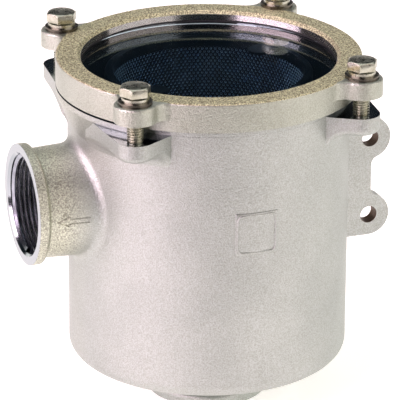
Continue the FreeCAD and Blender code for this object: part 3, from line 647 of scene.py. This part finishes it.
def name_pad(name):
    """The blank raised pad with a cast border, on the housing's front."""
    half = 10.6 * MM
    thickness = 1.2 * MM
    proud = 0.45 * MM
    height = OUTLET.z - 1.0 * MM
    front = math.radians(-90)
    clear_selection()
    bpy.ops.mesh.primitive_grid_add(x_subdivisions=24, y_subdivisions=4, size=2 * half)
    pad = started(name)
    bpy.ops.object.mode_set(mode="EDIT")
    bpy.ops.mesh.select_all(action="SELECT")
    bpy.ops.mesh.extrude_region_move(TRANSFORM_OT_translate={"value": (0, 0, thickness)})
    bpy.ops.object.mode_set(mode="OBJECT")
    modify(pad, "BEVEL", width=0.9 * MM, segments=3, limit_method="ANGLE", angle_limit=math.radians(50))
    for vertex in pad.data.vertices:
        across, up, out = vertex.co
        vertex.co = cylinder_point(front + across / CYLINDER_RADIUS, height + up, out + proud - thickness)
    outward(pad)
    border = []
    for across, up in rounded_square(half - 1.3 * MM, 2.5 * MM):
        border.append(cylinder_point(front + across / CYLINDER_RADIUS, height + up, proud))
    return joined(name, [pad, cast_bead(f"{name}_border", border, 1.0 * MM)])


# ---------------------------------------------------------------- dressing
housing_finish = cast_nickel("blasted_nickel_housing", ("#bac0bc", "#c2c8c4"), 0.38, housing_turned, "#8b9297",
                             housing_painted_shade, thin=barrel_olive_shade, drilled=housing_drilled, milled=housing_milled)
cover_finish = cast_nickel("blasted_nickel_cover", ("#b7bcb0", "#c3c8bd"), 0.3, cover_turned, "#c8c8c4",
                           cover_painted_shade, coarse_top=cover_coarse)
fastener_finish = polished_nickel("polished_nickel_fasteners", ("#a6a592", "#c9cabb"))
# The plain washers are painted dark: painted shade under the screw heads.
shaded_washer_finish = polished_nickel("painted_shade_washers", ("#4a4741", "#757165"))
shaded_basket_finish = shaded_basket_sheet("painted_shade_basket")
window_finish = clear_acrylic("clear_acrylic_window")
rubber_finish = nitrile_rubber("black_nitrile_seals")
thread_finish = cut_thread("cut_thread_bores")
punched_finish = punched_edge("bright_punched_edges")
# The finish of each solid, by how its name starts; the others are fasteners.
FINISHES = {"housing": housing_finish, "cover_ring": cover_finish, "sight_window": window_finish,
            "window_gasket": rubber_finish, "window_seal": rubber_finish, "basket": shaded_basket_finish,
            "lifting": shaded_basket_finish, "plain_washer": shaded_washer_finish}
for node, item in nodes.items():
    finishes = [finish for start, finish in FINISHES.items() if node.startswith(start)]
    item.data.materials.clear()
    item.data.materials.append(finishes[0] if finishes else fastener_finish)

for screw_node in SCREWS:
    number = screw_node.rsplit("_", 1)[1]
    dress(hex_screw(f"hex_screw_{number}", screw_node), fastener_finish, "polished_fastener", screw_node)
for half in range(2):
    wall = basket_mesh(f"perforated_wall_{half + 1}", half)
    dress(wall, shaded_basket_finish, "basket_steel", "basket_wall")
    wall.data.materials.append(punched_finish)
    for face in wall.data.polygons:
        face.material_index = int(Vector(face.center[:2]).length > SHEET_RADIUS + PUNCHED)
dress(pipe_thread("outlet_thread", OUTLET, (0, math.radians(90), 0)), thread_finish, "satin_casting")
dress(pipe_thread("inlet_thread", INLET, (0, 0, 0)), thread_finish, "satin_casting")
dress(flow_arrow("flow_arrow"), housing_finish, "satin_casting")
dress(name_pad("blank_name_pad"), housing_finish, "satin_casting")


# ---------------------------------------------------------------- stage, light and camera
AZIMUTH = math.radians(-19.8)
ELEVATION = math.radians(21.75)
ROLL = math.radians(0.36)
DISTANCE = 1.626
VIEW_WIDTH = 0.190
AIM_LEFT = 4.22 * MM
AIM_BELOW = 70.3 * MM
PAPER_WIDTH, PAPER_DEPTH = 12.0, 6.0
PAPER_FRONT = 0.52
SCREEN_WIDTH, SCREEN_HEIGHT = 8.0, 0.66
SCREEN_BEHIND = 2.6
right = Vector((math.cos(AZIMUTH), math.sin(AZIMUTH), 0))
away = Vector((math.sin(-AZIMUTH) * math.cos(ELEVATION), math.cos(AZIMUTH) * math.cos(ELEVATION),
               -math.sin(ELEVATION)))
up = right.cross(away)
level = Vector((away.x, away.y, 0)).normalized()


def sheet_of_paper(name, place, tilt, width, depth, finish):
    """A plain sheet of the stage, square to the camera's azimuth."""
    clear_selection()
    bpy.ops.mesh.primitive_plane_add(size=1.0, location=place, rotation=(tilt, 0, AZIMUTH))
    sheet = started(name)
    sheet.scale = (width, depth, 1)
    settle(sheet)
    sheet.data.materials.append(finish)


def table():
    """The pale floor, which ends close before the strainer, and the low screen behind it.

    The front edge leaves the housing's foot a darker room to reflect, and the screen's low top
    leaves a dark gap in the window.
    """
    paper = pale_paper("pale_paper")
    middle_of_floor = level * (PAPER_DEPTH / 2 - PAPER_FRONT) + Vector((0, 0, cad_box[0].z))
    sheet_of_paper("floor", middle_of_floor, 0, PAPER_WIDTH, PAPER_DEPTH, paper)
    middle_of_screen = level * SCREEN_BEHIND + Vector((0, 0, SCREEN_HEIGHT / 2))
    sheet_of_paper("backdrop", middle_of_screen, math.radians(90), SCREEN_WIDTH, SCREEN_HEIGHT, paper)


def softbox(name, place, size, power, colour="#ffffff"):
    """A rectangular area light that faces the middle of the strainer."""
    data = bpy.data.lights.new(name, "AREA")
    data.shape = "RECTANGLE"
    data.size, data.size_y = size
    data.energy = power
    data.color = linear(colour)[:3]
    lamp = bpy.data.objects.new(name, data)
    bpy.context.collection.objects.link(lamp)
    middle = Vector((0, 0, cad_box[1].z / 2))
    lamp.location = middle + place
    lamp.rotation_mode = "QUATERNION"
    lamp.rotation_quaternion = (-place).to_track_quat("-Z", "Y")


def camera():
    """The camera, level but for a slight roll, with the whole width of the strainer in view."""
    data = bpy.data.cameras.new("camera")
    data.sensor_width = 36.0
    data.lens = data.sensor_width * DISTANCE / VIEW_WIDTH
    data.clip_start, data.clip_end = 0.05, 20.0
    item = bpy.data.objects.new("camera", data)
    bpy.context.collection.objects.link(item)
    sideways = right * math.cos(ROLL) + up * math.sin(ROLL)
    upright = up * math.cos(ROLL) - right * math.sin(ROLL)
    item.location = Vector((0, 0, COVER_TOP)) - away * DISTANCE - sideways * AIM_LEFT - upright * AIM_BELOW
    item.rotation_mode = "QUATERNION"
    item.rotation_quaternion = Matrix((sideways, upright, -away)).transposed().to_quaternion()
    bpy.context.scene.camera = item


def surroundings():
    """A dim bluish room round the stage, which fills the dark gaps in the metal."""
    world = bpy.data.worlds.new("studio")
    world.use_nodes = True
    background = world.node_tree.nodes["Background"]
    background.inputs["Color"].default_value = linear("#8fb0cc")
    background.inputs["Strength"].default_value = 0.035
    bpy.context.scene.world = world
    bpy.context.scene.view_settings.view_transform = "Standard"


table()
surroundings()
camera()
softbox("overhead_softbox", away * 0.7 + Vector((0, 0, 2.3)), (3.0, 2.2), 22)
softbox("left_softbox", -right * 1.2 - away * 0.8 + Vector((0, 0, 0.4)), (1.9, 1.1), 41, "#ffe2f2")
softbox("right_softbox", right * 1.32 - away * 0.6 + Vector((0, 0, 0.4)), (2.2, 1.1), 17, "#fff0ee")
